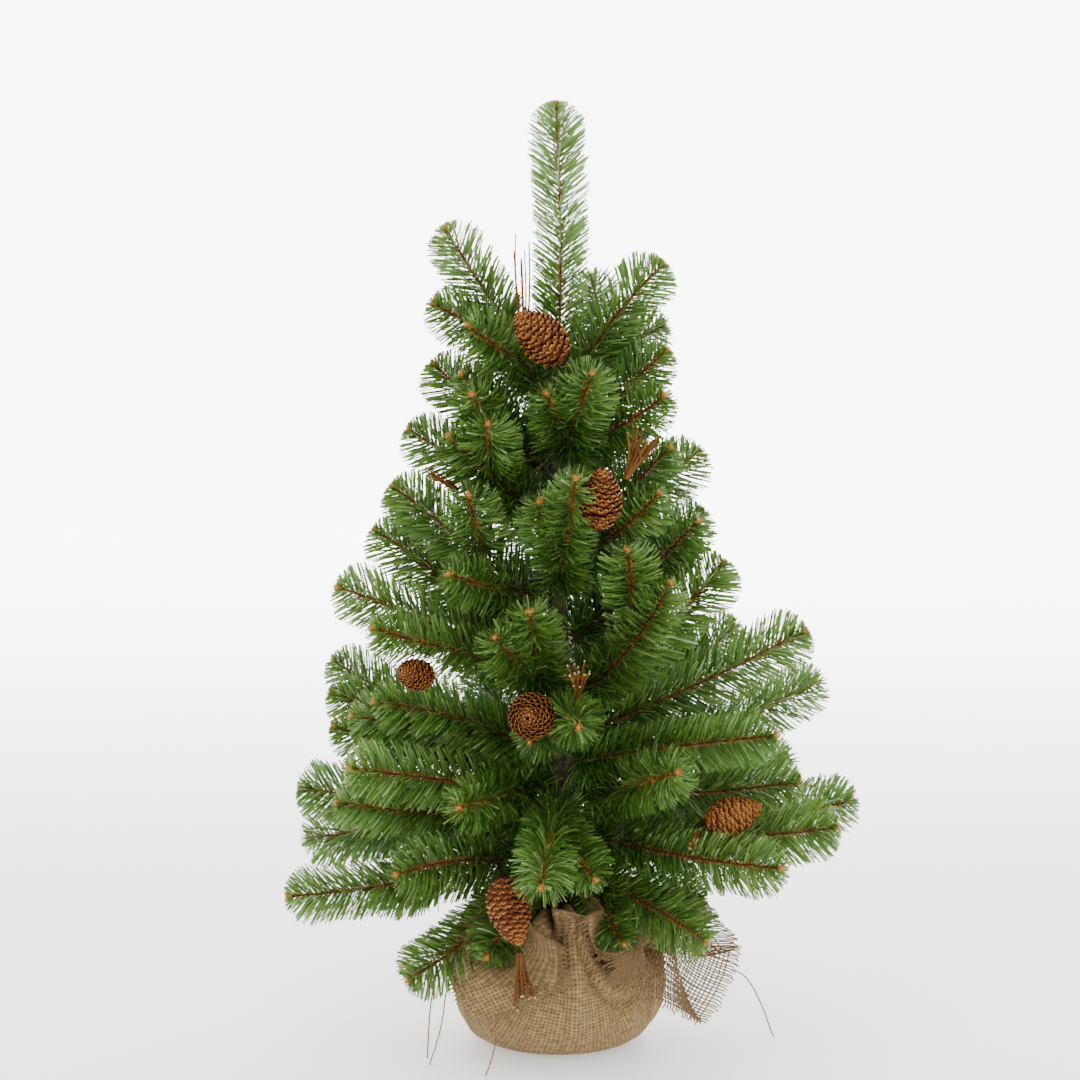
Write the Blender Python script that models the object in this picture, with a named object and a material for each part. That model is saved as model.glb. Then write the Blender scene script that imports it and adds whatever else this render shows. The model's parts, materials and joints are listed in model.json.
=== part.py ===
"""Artificial tabletop tree in a burlap-wrapped weighted pot.

Wire branches with needle tips bend at the trunk, one hinge each.  Cones and twig bunches are
wired to a branch or to the trunk.  Metres, +Z up, origin at the centre of the base's underside.
"""
import math
from collections import namedtuple

import bmesh
import bpy
from mathutils import Matrix, Vector

MM = 0.001
UP = Vector((0, 0, 1))
GAP = 0.3                    # clearance between touching pieces, mm

# Driving dimensions, mm
TREE_HEIGHT = 606.0
ROD_RADIUS = 3.0
TAPE_INNER = ROD_RADIUS + GAP
TAPE_OUTER = 6.5
TAPE_FOOT = 92.0
TAPE_TOP = 452.0
ROD_TOP = 451.0
WIRE_RADIUS = 1.8
CORE_RADIUS = 4.0            # needle roots pressed to the stem
TIP_RADIUS = 2.4
PIVOT_BALL = 2.2
PIVOT_RADIUS = TAPE_OUTER + GAP + PIVOT_BALL
BARE_MAIN = 20.0             # bare wire next to the trunk
BARE_SIDE = 8.0              # bare wire next to a fork
BLUNT_END = 3.0              # from the last ring of a stem to its end
FIRST_FORK = 0.16            # where side shoots leave the main stem, share of its length
LAST_FORK = 0.40
TUBE_SIDES = 5
RING_STEP = 15.0

POT_FOOT_RADIUS = 42.0
POT_RIM_RADIUS = 56.0
POT_HEIGHT = 52.0
POT_WALL = 1.5
CEMENT_HEIGHT = 42.0
ROD_FOOT = 10.0

CLOTH_THICKNESS = 1.2
BAG_FLAT_RADIUS = 46.0
BAG_RADIUS = 66.0
NECK_RADIUS = 13.0
NECK_HEIGHT = 85.0
TIE_WIRE = 1.4
TIE_CLEARANCE = 1.0          # between the cloth's outer face and the tie
FLAP_LENGTH = 92.0
CORNER_SPREAD = 26.0         # how wide a corner flap is, degrees
FLAP_CORNERS = (330, 232, 150, 60)   # azimuths of the burlap square's corners, degrees
CLOTH_SEGMENTS = 40

# A shoot is (azimuth deg, reach mm, height mm, rise of its end deg).  Azimuth 0 is +X, 270 the front.
# The first shoot of a branch is its main stem and sets the azimuth of its root on the trunk.
Branch = namedtuple("Branch", "root shoots")

BRANCHES = {
    "branch_01_front_left": Branch(118, [(215, 115, 57, -18), (238, 84, 74, -20)]),
    "branch_02_front_right": Branch(114, [(325, 114, 82, -25), (303, 76, 80, -16), (344, 96, 98, -8)]),
    "branch_03_left": Branch(125, [(194, 177, 105, 0), (211, 118, 124, -11), (180, 120, 96, -4)]),
    "branch_04_back": Branch(120, [(88, 165, 112, 0), (68, 145, 106, -4), (108, 150, 104, -2)]),
    "branch_05_right": Branch(132, [(345, 182, 151, 12), (5, 194, 153, 6), (330, 160, 133, 5)]),
    "branch_06_back_right": Branch(128, [(40, 172, 132, 2), (22, 160, 122, 0), (55, 150, 140, 6)]),
    "branch_07_back_left": Branch(130, [(140, 170, 138, 2), (124, 155, 128, 0), (155, 160, 120, -5)]),
    "branch_08_front": Branch(152, [(265, 128, 134, -18), (286, 82, 126, -12)]),
    "branch_09_left": Branch(146, [(182, 166, 167, 9), (168, 168, 124, -8), (197, 146, 166, 14)]),
    "branch_10_right": Branch(166, [(350, 156, 176, 12), (310, 114, 196, 20), (22, 165, 172, 8)]),
    "branch_11_front_left": Branch(164, [(204, 143, 192, 12), (232, 100, 172, 6)]),
    "branch_12_back": Branch(168, [(80, 160, 172, 10), (60, 150, 182, 12), (102, 150, 180, 10)]),
    "branch_13_left": Branch(174, [(160, 158, 240, 30), (176, 146, 204, 20), (170, 150, 224, 24)]),
    "branch_14_right": Branch(184, [(335, 149, 214, 10), (15, 178, 227, 20), (355, 120, 202, 10)]),
    "branch_15_back_left": Branch(186, [(128, 152, 206, 16), (112, 140, 220, 22), (146, 150, 190, 10)]),
    "branch_16_front_left": Branch(196, [(190, 133, 218, 10), (197, 121, 230, 8)]),
    "branch_17_front": Branch(214, [(277, 98, 227, -4), (256, 72, 212, -6)]),
    "branch_18_right": Branch(200, [(355, 158, 272, 30), (25, 130, 262, 34)]),
    "branch_19_back": Branch(222, [(65, 132, 256, 24), (45, 130, 240, 20), (88, 130, 250, 24)]),
    "branch_20_right": Branch(226, [(350, 106, 317, 56), (324, 86, 308, 60), (308, 70, 330, 54)]),
    "branch_21_left": Branch(240, [(190, 141, 302, 21), (203, 126, 280, 21)]),
    "branch_22_front_left": Branch(232, [(238, 74, 276, 38), (254, 66, 292, 44)]),
    "branch_23_back_left": Branch(244, [(120, 125, 280, 30), (138, 128, 264, 26), (104, 115, 296, 34)]),
    "branch_24_left": Branch(256, [(172, 119, 333, 34), (160, 110, 346, 44)]),
    "branch_25_right": Branch(262, [(20, 99, 343, 46), (345, 91, 344, 44), (38, 100, 322, 38)]),
    "branch_26_front_left": Branch(284, [(182, 105, 364, 38), (222, 76, 364, 44), (214, 82, 314, 26)]),
    "branch_27_back": Branch(290, [(85, 105, 336, 38), (62, 100, 330, 36), (108, 102, 338, 38)]),
    "branch_28_front": Branch(300, [(277, 84, 379, 48), (258, 56, 360, 44)]),
    "branch_29_right": Branch(306, [(340, 74, 391, 42), (322, 79, 365, 46), (12, 92, 384, 44)]),
    "branch_30_left": Branch(346, [(186, 95, 401, 32), (208, 77, 399, 38), (232, 71, 409, 40)]),
    "branch_31_back": Branch(344, [(75, 82, 400, 42), (50, 84, 392, 40), (102, 80, 404, 42),
                                   (130, 86, 392, 38)]),
    "branch_32_left": Branch(374, [(170, 81, 441, 44), (222, 72, 427, 36), (194, 62, 436, 46)]),
    "branch_33_right": Branch(380, [(345, 70, 452, 38), (328, 77, 426, 42)]),
    "branch_34_front": Branch(384, [(288, 66, 441, 44), (262, 52, 428, 44)]),
    "branch_35_back": Branch(402, [(70, 62, 456, 48), (40, 64, 448, 44), (105, 60, 450, 46),
                                   (138, 62, 462, 48)]),
    "branch_36_right": Branch(430, [(2, 66, 505, 41), (20, 71, 465, 26), (52, 36, 496, 60)]),
    "branch_37_left": Branch(422, [(178, 72, 528, 56), (192, 80, 482, 40), (212, 66, 469, 30)]),
}

# Cones: centre (x, y, z) mm, direction of the tip (x, y, z), length, diameter.
Cone = namedtuple("Cone", "centre heading length diameter")
CONES = {
    "cone_top": Cone((-10, -40, 462), (-0.66, -0.35, 0.66), 44, 29),
    "cone_upper_right": Cone((26, -68, 364), (0.02, -0.45, 0.9), 44, 26),
    "cone_middle": Cone((-17, -84, 231), (-0.1, -0.97, 0.15), 40, 29),
    "cone_low_front": Cone((-31, -84, 108), (0.28, -0.25, -0.93), 44, 27),
    "cone_right": Cone((110, -42, 157), (0.94, 0.1, 0.3), 38, 25),
    "cone_left": Cone((-90, -46, 250), (-0.5, -0.75, 0.3), 32, 20),
}
# Twig bunches: knot (x, y, z) mm, main direction, length, spread deg, number of twigs.
Twigs = namedtuple("Twigs", "knot heading length spread count")
TWIGS = {
    "twigs_top": Twigs((-22, -26, 462), (-0.03, 0.05, 1.0), 70, 7, 4),
    "twigs_upper_right": Twigs((43, -52, 378), (0.45, 0.1, 0.85), 34, 26, 6),
    "twigs_middle": Twigs((12, -76, 243), (0.1, -0.45, 0.88), 24, 26, 7),
    "twigs_low_front": Twigs((-24, -88, 78), (0.05, 0.0, -1.0), 36, 15, 7),
    "twigs_right": Twigs((88, -50, 147), (-0.3, -0.4, -0.75), 14, 30, 3),
    "twigs_left": Twigs((-66, -26, 366), (-0.8, -0.1, 0.6), 26, 12, 3),
    "twigs_back_right": Twigs((78, 24, 300), (0.6, 0.2, 0.75), 24, 24, 4),
}

# What each cone and twig bunch is wired to.
CARRIERS = {
    "cone_top": "trunk", "twigs_top": "trunk",
    "cone_upper_right": "branch_28_front", "twigs_upper_right": "branch_29_right",
    "cone_middle": "branch_17_front", "twigs_middle": "branch_17_front",
    "cone_low_front": "branch_08_front", "twigs_low_front": "branch_08_front",
    "cone_right": "branch_05_right", "twigs_right": "branch_05_right",
    "cone_left": "branch_21_left", "twigs_left": "branch_26_front_left",
    "twigs_back_right": "branch_25_right",
}
PICK_WIRE = 0.8

COLOURS = {
    "foliage": ((0.045, 0.13, 0.028, 1), 0.55, 0.0),
    "burlap": ((0.44, 0.32, 0.18, 1), 0.9, 0.0),
    "twine": ((0.36, 0.26, 0.14, 1), 0.9, 0.0),
    "pot": ((0.03, 0.03, 0.03, 1), 0.5, 0.0),
    "cement": ((0.42, 0.41, 0.39, 1), 0.9, 0.0),
    "rod": ((0.45, 0.45, 0.45, 1), 0.4, 1.0),
    "tape": ((0.11, 0.06, 0.03, 1), 0.6, 0.0),
    "cone": ((0.26, 0.10, 0.035, 1), 0.7, 0.0),
    "twig": ((0.30, 0.14, 0.05, 1), 0.75, 0.0),
}


def clear_scene():
    for item in list(bpy.data.objects):
        bpy.data.objects.remove(item, do_unlink=True)


def material(name):
    found = bpy.data.materials.get(name)
    if found:
        return found
    colour, roughness, metallic = COLOURS[name]
    made = bpy.data.materials.new(name)
    made.use_nodes = True
    shader = made.node_tree.nodes["Principled BSDF"]
    shader.inputs["Base Color"].default_value = colour
    shader.inputs["Roughness"].default_value = roughness
    shader.inputs["Metallic"].default_value = metallic
    made.diffuse_color = colour
    return made


def add_object(name, mesh, finish=None):
    item = bpy.data.objects.new(name, mesh)
    bpy.context.scene.collection.objects.link(item)
    if finish:
        mesh.materials.clear()
        mesh.materials.append(material(finish))
    return item


def mesh_from(bm, name, smooth_angle=50):
    bmesh.ops.recalc_face_normals(bm, faces=bm.faces)
    mesh = bpy.data.meshes.new(name)
    bm.to_mesh(mesh)
    bm.free()
    mesh.shade_smooth()
    mesh.set_sharp_from_angle(angle=math.radians(smooth_angle))
    return mesh


def polar(azimuth, reach, height):
    """A point in mm from its azimuth in degrees, reach and height."""
    turn = math.radians(azimuth)
    return Vector((reach * math.cos(turn), reach * math.sin(turn), height))


def frame_across(direction):
    """Two unit vectors square to a direction."""
    side = direction.cross(UP if abs(direction.z) < 0.9 else Vector((1, 0, 0))).normalized()
    return side, direction.cross(side).normalized()


def tube(points, radii, sides=TUBE_SIDES):
    """A closed tube along points in mm, with a point at each end."""
    bm = bmesh.new()
    side = None
    rings = []
    for index in range(1, len(points) - 1):
        along = (points[index + 1] - points[index - 1]).normalized()
        if side is None:
            side = frame_across(along)[0]
        side = (side - along * side.dot(along)).normalized()
        over = along.cross(side)
        ring = []
        for step in range(sides):
            turn = 2 * math.pi * step / sides
            offset = side * math.cos(turn) + over * math.sin(turn)
            ring.append(bm.verts.new((points[index] + offset * radii[index]) * MM))
        rings.append(ring)
    for low, high in zip(rings, rings[1:]):
        for step in range(sides):
            after = (step + 1) % sides
            bm.faces.new((low[step], low[after], high[after], high[step]))
    for ring, end in ((rings[0], points[0]), (rings[-1], points[-1])):
        apex = bm.verts.new(end * MM)
        for step in range(sides):
            bm.faces.new((ring[step], ring[(step + 1) % sides], apex))
    return mesh_from(bm, "tube")


def join_solids(name, meshes, finish):
    """One closed body from overlapping closed meshes, joined by exact Boolean unions."""
    whole = add_object(name, meshes[0], finish)
    operands = []
    for mesh in meshes[1:]:
        operand = add_object(name + "_operand", mesh)
        operand.hide_render = True
        operand.display_type = 'WIRE'
        joint = whole.modifiers.new("union", 'BOOLEAN')
        joint.operation = 'UNION'
        joint.solver = 'EXACT'
        joint.object = operand
        operands.append(operand)
    graph = bpy.context.evaluated_depsgraph_get()
    joined = bpy.data.meshes.new_from_object(whole.evaluated_get(graph))
    whole.modifiers.clear()
    whole.data = joined
    for operand in operands:
        bpy.data.objects.remove(operand, do_unlink=True)
    joined.materials.clear()
    joined.materials.append(material(finish))
    return whole


def lathe(name, outline, segments, finish):
    """A turned solid about the Z axis from a closed or axis-to-axis outline of (radius, height) in mm."""
    bm = bmesh.new()
    closed = outline[0][0] > 0
    corners = [bm.verts.new((radius * MM, 0, height * MM)) for radius, height in outline]
    edges = [bm.edges.new(pair) for pair in zip(corners, corners[1:])]
    if closed:
        edges.append(bm.edges.new((corners[-1], corners[0])))
    bmesh.ops.spin(bm, geom=corners + edges, cent=(0, 0, 0), axis=UP, angle=2 * math.pi,
                   steps=segments, use_merge=True)
    bmesh.ops.remove_doubles(bm, verts=bm.verts, dist=0.01 * MM)
    return add_object(name, mesh_from(bm, name), finish)


def curve_points(start, end, rise):
    """A quadratic curve from start to end that arrives at the given rise, with about even steps."""
    chord = end - start
    heading = Vector((chord.x, chord.y, 0)).normalized() * math.cos(math.radians(rise))
    heading.z = math.sin(math.radians(rise))
    control = end - heading * chord.length / 2
    steps = max(4, round(chord.length / RING_STEP))
    return [quadratic(start, control, end, index / steps) for index in range(steps + 1)]


def quadratic(start, control, end, share):
    rest = 1 - share
    return start * rest * rest + control * 2 * rest * share + end * share * share


def along_path(points, share):
    """The point at a share of a path's number of steps."""
    place = share * (len(points) - 1)
    index = min(int(place), len(points) - 2)
    return points[index].lerp(points[index + 1], place - index)


def stem_radii(points, bare):
    """Bare wire at the start, needle core after it, a blunt tip at the end."""
    radii = []
    run = 0
    for index, point in enumerate(points):
        run += (point - points[index - 1]).length if index else 0
        radii.append(WIRE_RADIUS if run < bare else CORE_RADIUS)
    radii[-1] = 0
    radii[-2] = TIP_RADIUS
    return radii


def shoot_paths(branch):
    """The centre lines of a branch's shoots, the main stem first, in mm."""
    azimuth, reach, height, rise = branch.shoots[0]
    pivot = polar(azimuth, PIVOT_RADIUS, branch.root)
    main = curve_points(pivot, polar(azimuth, reach, height), rise)
    paths = [main]
    sides = sorted(branch.shoots[1:], key=lambda shoot: (polar(*shoot[:3]) - pivot).length)
    for order, (azimuth, reach, height, rise) in enumerate(sides):
        share = FIRST_FORK + (LAST_FORK - FIRST_FORK) * order / max(1, len(sides) - 1)
        paths.append(curve_points(along_path(main, share), polar(azimuth, reach, height), rise))
    return pivot, paths


def with_blunt_end(points):
    """Adds a ring close to the far end, so that the stem ends blunt and not in a long spike."""
    last = (points[-2] - points[-1]).normalized()
    return points[:-1] + [points[-1] + last * BLUNT_END, points[-1]]


def build_branch(name, branch):
    pivot, paths = shoot_paths(branch)
    meshes = []
    for order, points in enumerate(paths):
        points = with_blunt_end(points)
        bare = BARE_SIDE if order else BARE_MAIN
        radii = stem_radii(points, bare)
        if order == 0:
            first = (points[1] - points[0]).normalized()
            points = [pivot - first * PIVOT_BALL, pivot, pivot + first * 4] + points[1:]
            radii = [0, PIVOT_BALL, WIRE_RADIUS] + radii[1:]
        else:
            first = (points[1] - points[0]).normalized()
            points = [points[0], points[0] + first * 2.5] + points[1:]
            radii = [0, WIRE_RADIUS] + radii[1:]
        meshes.append(tube(points, radii))
    whole = join_solids(name, meshes, "foliage")
    whole.data.transform(shift_to(pivot))
    whole.location = pivot * MM
    return whole


def shift_to(pivot):
    """The move that puts a pivot given in mm at the mesh's own origin."""
    return Matrix.Translation(-pivot * MM)


def build_leader():
    foot = Vector((0, 0, TAPE_TOP + GAP + PIVOT_BALL))
    points = [foot - UP * PIVOT_BALL, foot, foot + UP * 8, foot + UP * 16]
    radii = [0, PIVOT_BALL, WIRE_RADIUS, CORE_RADIUS]
    height = foot.z + 32
    while height < TREE_HEIGHT - RING_STEP:
        points.append(Vector((0, 0, height)))
        radii.append(CORE_RADIUS)
        height += RING_STEP
    points += [Vector((0, 0, TREE_HEIGHT - BLUNT_END)), Vector((0, 0, TREE_HEIGHT))]
    radii += [TIP_RADIUS, 0]
    leader = add_object("leader", tube(points, radii), "foliage")
    leader.data.transform(shift_to(foot))
    leader.location = foot * MM
    return leader


def build_trunk():
    lathe("trunk_rod", [(0, ROD_FOOT), (ROD_RADIUS, ROD_FOOT), (ROD_RADIUS, ROD_TOP), (0, ROD_TOP)],
          12, "rod")
    lathe("trunk_tape", [(TAPE_INNER, TAPE_FOOT), (TAPE_OUTER, TAPE_FOOT), (TAPE_OUTER, TAPE_TOP),
                         (TAPE_INNER, TAPE_TOP)], 16, "tape")


def build_pot():
    foot = CLOTH_THICKNESS + GAP
    rim = foot + POT_HEIGHT
    inside = foot + POT_WALL
    lathe("base_pot", [(0, foot), (POT_FOOT_RADIUS, foot), (POT_RIM_RADIUS, rim),
                       (POT_RIM_RADIUS - POT_WALL, rim), (POT_FOOT_RADIUS - POT_WALL, inside),
                       (0, inside)], 32, "pot")
    low = inside + GAP
    high = inside + CEMENT_HEIGHT
    slope = (POT_RIM_RADIUS - POT_FOOT_RADIUS) / POT_HEIGHT
    low_radius = POT_FOOT_RADIUS - POT_WALL - GAP * 2
    high_radius = low_radius + slope * (high - low)
    hole = ROD_RADIUS + GAP
    lathe("cement_weight", [(0, low), (low_radius, low), (high_radius, high), (hole, high),
                            (hole, ROD_FOOT - GAP), (0, ROD_FOOT - GAP)], 24, "cement")


def flap_share(azimuth):
    """How far down the flared collar the cloth's edge reaches, 1 at a corner of the square."""
    nearest = min(abs((azimuth - corner + 180) % 360 - 180) for corner in FLAP_CORNERS)
    return 0.10 + 0.90 * math.exp(-(nearest / CORNER_SPREAD) ** 2)


def sample(outline, share):
    """The point at a share of an outline's length."""
    lengths = [math.dist(a, b) for a, b in zip(outline, outline[1:])]
    left = share * sum(lengths)
    for (a, b), length in zip(zip(outline, outline[1:]), lengths):
        if left <= length:
            part = left / length
            return a[0] + (b[0] - a[0]) * part, a[1] + (b[1] - a[1]) * part
        left -= length
    return outline[-1]


def build_burlap():
    """One sheet: flat under the pot, up its side, in to the neck, then out and down in four flaps."""
    bag = [(BAG_FLAT_RADIUS, 0), (58, 6), (64, 17), (BAG_RADIUS, 32), (64, 46), (54, 60),
           (38, 70), (22, 77), (NECK_RADIUS, NECK_HEIGHT)]
    collar = [(15, 89), (24, 90)]
    flap = [(24, 90), (38, 84), (54, 73), (68, 57), (78, 41), (86, 26), (FLAP_LENGTH, 11)]
    flap_steps = 5
    bm = bmesh.new()
    centre = bm.verts.new((0, 0, 0))
    columns = []
    for column in range(CLOTH_SEGMENTS):
        azimuth = 360 * column / CLOTH_SEGMENTS
        share = flap_share(azimuth)
        outline = bag + collar
        outline = outline + [sample(flap, share * (k + 1) / flap_steps) for k in range(flap_steps)]
        columns.append([bm.verts.new(polar(azimuth, r, z) * MM) for r, z in outline])
    rings = list(zip(*columns))
    for column in range(CLOTH_SEGMENTS):
        after = (column + 1) % CLOTH_SEGMENTS
        bm.faces.new((centre, rings[0][after], rings[0][column]))
        for low, high in zip(rings, rings[1:]):
            bm.faces.new((low[column], low[after], high[after], high[column]))
    mesh = bpy.data.meshes.new("burlap_wrap")
    bm.to_mesh(mesh)
    bm.free()
    mesh.shade_smooth()
    cloth = add_object("burlap_wrap", mesh, "burlap")
    thick = cloth.modifiers.new("thickness", 'SOLIDIFY')
    thick.thickness = CLOTH_THICKNESS * MM
    thick.offset = -1
    thick.use_even_offset = True
    return cloth


def build_tie():
    bm = bmesh.new()
    radius = NECK_RADIUS + GAP + TIE_WIRE + TIE_CLEARANCE
    for step in range(8):
        turn = 2 * math.pi * step / 8
        bm.verts.new(((radius + TIE_WIRE * math.cos(turn)) * MM, 0,
                      (NECK_HEIGHT + TIE_WIRE * math.sin(turn)) * MM))
    bm.verts.ensure_lookup_table()
    loop = list(bm.verts)
    edges = [bm.edges.new((loop[k - 1], loop[k])) for k in range(len(loop))]
    bmesh.ops.spin(bm, geom=loop + edges, cent=(0, 0, 0), axis=UP, angle=2 * math.pi,
                   steps=20, use_merge=True)
    bmesh.ops.remove_doubles(bm, verts=bm.verts, dist=0.01 * MM)
    return add_object("neck_tie", mesh_from(bm, "neck_tie"), "twine")


def nearest_stem(start, carrier):
    """The nearest place on what carries a pick, and that stem's radius, in mm."""
    if carrier == "trunk":
        return Vector((0, 0, start.z - 12)), TAPE_OUTER
    paths = shoot_paths(BRANCHES[carrier])[1]
    places = [path[k].lerp(path[k + 1], part / 8) for path in paths
              for k in range(len(path) - 1) for part in range(8)]
    return min(places, key=lambda place: (place - start).length), CORE_RADIUS


def pick_wire(start, carrier):
    """The short wire that ties a pick to its carrier, just clear of the stem."""
    place, radius = nearest_stem(start, carrier)
    toward = (place - start).normalized()
    end = place - toward * (radius + GAP)
    return tube([start, start + toward * 0.5, end - toward * 0.5, end],
                [0, PICK_WIRE, PICK_WIRE, 0], sides=4)


def build_cone(name, cone):
    """An egg-shaped closed cone with its wire."""
    axis = Vector(cone.heading).normalized()
    centre = Vector(cone.centre)
    shape = [(0, 0), (0.05, 0.55), (0.18, 0.90), (0.35, 1.0), (0.55, 0.94), (0.74, 0.74), (0.90, 0.42),
             (1.0, 0)]
    points = [centre + axis * cone.length * (share - 0.5) for share, width in shape]
    radii = [cone.diameter / 2 * width for share, width in shape]
    wire = pick_wire(centre - axis * cone.length * 0.3, CARRIERS[name])
    return join_solids(name, [tube(points, radii, sides=10), wire], "cone")


def build_twigs(name, bunch):
    """Thin forked twigs that spread from a bound knot."""
    axis = Vector(bunch.heading).normalized()
    knot = Vector(bunch.knot)
    side, over = frame_across(axis)
    meshes = [tube([knot - axis * 5, knot - axis * 4, knot + axis * 4, knot + axis * 5],
                   [0, 2.2, 2.2, 0], sides=6), pick_wire(knot, CARRIERS[name])]
    for order in range(bunch.count):
        turn = 2.4 * order
        lean = math.radians(bunch.spread) * (0.45 + 0.55 * ((order * 3) % bunch.count) / bunch.count)
        length = bunch.length * (0.72 + 0.28 * ((order * 5) % bunch.count) / bunch.count)
        out = side * math.cos(turn) + over * math.sin(turn)
        root = knot + axis * 2 + out * 1.1
        heading = axis * math.cos(lean) + out * math.sin(lean)
        bend = (axis * 0.85 + out * 0.15).normalized()
        middle = root + bend * length * 0.45
        end = middle + heading * length * 0.55
        points = [root, root + bend * 1.5, middle, end - heading * 0.5, end]
        meshes.append(tube(points, [0, 0.9, 0.8, 0.6, 0], sides=4))
    return join_solids(name, meshes, "twig")


def main():
    clear_scene()
    build_pot()
    build_trunk()
    build_burlap()
    build_tie()
    build_leader()
    for name, branch in BRANCHES.items():
        build_branch(name, branch)
    for name, cone in CONES.items():
        build_cone(name, cone)
    for name, bunch in TWIGS.items():
        build_twigs(name, bunch)


main()
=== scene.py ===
"""Looks of the artificial tabletop tree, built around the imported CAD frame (metres, +Z up)."""
import json
import math

import bpy
import numpy as np
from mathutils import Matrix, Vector


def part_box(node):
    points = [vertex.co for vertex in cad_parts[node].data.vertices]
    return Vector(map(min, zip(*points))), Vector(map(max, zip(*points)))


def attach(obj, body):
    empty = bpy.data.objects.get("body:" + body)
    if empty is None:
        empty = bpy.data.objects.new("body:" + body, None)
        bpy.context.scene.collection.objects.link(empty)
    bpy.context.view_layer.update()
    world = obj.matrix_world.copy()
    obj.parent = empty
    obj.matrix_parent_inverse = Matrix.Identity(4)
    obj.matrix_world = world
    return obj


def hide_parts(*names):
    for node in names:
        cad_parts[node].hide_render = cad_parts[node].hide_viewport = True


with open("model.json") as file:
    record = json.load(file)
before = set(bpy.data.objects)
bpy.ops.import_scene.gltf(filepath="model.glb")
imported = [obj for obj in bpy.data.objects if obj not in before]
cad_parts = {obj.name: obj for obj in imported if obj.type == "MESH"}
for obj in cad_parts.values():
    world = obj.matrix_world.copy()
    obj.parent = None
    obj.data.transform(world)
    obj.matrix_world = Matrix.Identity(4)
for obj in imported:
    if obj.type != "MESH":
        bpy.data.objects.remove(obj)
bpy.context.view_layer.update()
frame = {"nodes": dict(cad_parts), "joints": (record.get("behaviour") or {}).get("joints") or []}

MM = 0.001
UP = np.array([0.0, 0.0, 1.0])

# Stems: the CAD model's rule for side shoots, as shares of the main stem's length
FIRST_FORK = 0.16
LAST_FORK = 0.40
RING_STEP = 15 * MM          # from one of its cross-sections to the next
LINE_STEP = 1 * MM           # from one point of the centre line to the next
BARE_MAIN = 2 * MM           # bare wire next to the trunk
BARE_SIDE = 4 * MM           # bare wire next to a fork
WIRE_STEP = 1.1 * MM
WIRE_OFFSET = 0.55 * MM      # from the stem's middle to each twisted wire's
WIRE_RADIUS = 0.62 * MM
STEM_STRIPS_PER_M = 2600     # short brown strips, one tuft a turn
LEADER_BOW = 1.8 * MM

# Needle strips
NEEDLE_LENGTH = 25 * MM
NEEDLE_WIDTH = 1.0 * MM
LENGTH_SHARE = (0.86, 1.0)   # how much of it each shoot's needles have
LEADER_SHARE = 0.84
NEEDLES_PER_M = 6700
LEADER_DENSITY = 0.95        # the leader's share of that
INNER_NEEDLES = 230  # extra ones that hide the trunk,
INNER_REACH = 22             # this far along the stem, mm
END_NEEDLES = 16  # extra ones round the bud
TRUNK_ROOM = 8 * MM          # needles keep this far from the trunk's middle
TWIST_PITCH = 6 * MM         # one full turn of the two wires
TURN_JITTER = 0.22           # radians that needles stray from the wires' turn
SWEEP = 0.10                 # how far a needle's outer half bends forward,
DROOP = 0.03                 # and how far down, as shares
FLAT_TURN = 1.3              # radians that a strip's flat side is turned round its length
NEEDLE_LEAN = math.radians(59)  # off the stem's direction
TIP_LEAN = math.radians(50)     # the same at its end, reached over LEAN_CHANGE
LEAN_CHANGE = 24 * MM
PAST_TIP = 3 * MM            # how far needles reach past the end of the stem
END_ROUND = 14 * MM          # length and radius of the brush's round end
END_RADIUS = 21 * MM

# Burlap square
CLOTH_SIDE = 400 * MM
CLOTH_SHIFT = 14 * MM        # how far the square lies off the pot's centre, to the front right
WEAVE_PITCH = 2.25 * MM
CLOTH_THICKNESS = 0.9 * MM
THREAD_RADIUS = 0.48 * MM
FRAYED_CORNER = 72 * MM      # from the frayed corner to where the whole cloth starts
# Azimuths of the square's corners: as it lies flat, and once it is gathered round the pot
FLAT_CORNERS = (-45, 45, 135, 225, 315, 405)
CLOTH_CORNERS = (-14, 70, 146, 218, 346, 430)


# ---- meshes

def mesh_object(name, verts, faces, uvs=None, attributes=None):
    """An object from numpy vertices and quads or triangles, with float vertex attributes."""
    mesh = bpy.data.meshes.new(name)
    verts = np.asarray(verts, dtype=np.float32)
    faces = np.asarray(faces, dtype=np.int32)
    corners = faces.shape[1]
    mesh.vertices.add(len(verts))
    mesh.vertices.foreach_set("co", verts.ravel())
    mesh.loops.add(faces.size)
    mesh.loops.foreach_set("vertex_index", faces.ravel())
    mesh.polygons.add(len(faces))
    mesh.polygons.foreach_set("loop_start", np.arange(0, faces.size, corners, dtype=np.int32))
    mesh.polygons.foreach_set("loop_total", np.full(len(faces), corners, dtype=np.int32))
    mesh.update(calc_edges=True)
    if uvs is not None:
        layer = mesh.uv_layers.new(name="cloth")
        layer.data.foreach_set("uv", np.asarray(uvs, dtype=np.float32)[faces.ravel()].ravel())
    for key, values in (attributes or {}).items():
        mesh.attributes.new(key, 'FLOAT', 'POINT').data.foreach_set(
            "value", np.asarray(values, dtype=np.float32))
    mesh.shade_smooth()
    item = bpy.data.objects.new(name, mesh)
    bpy.context.scene.collection.objects.link(item)
    return item


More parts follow.
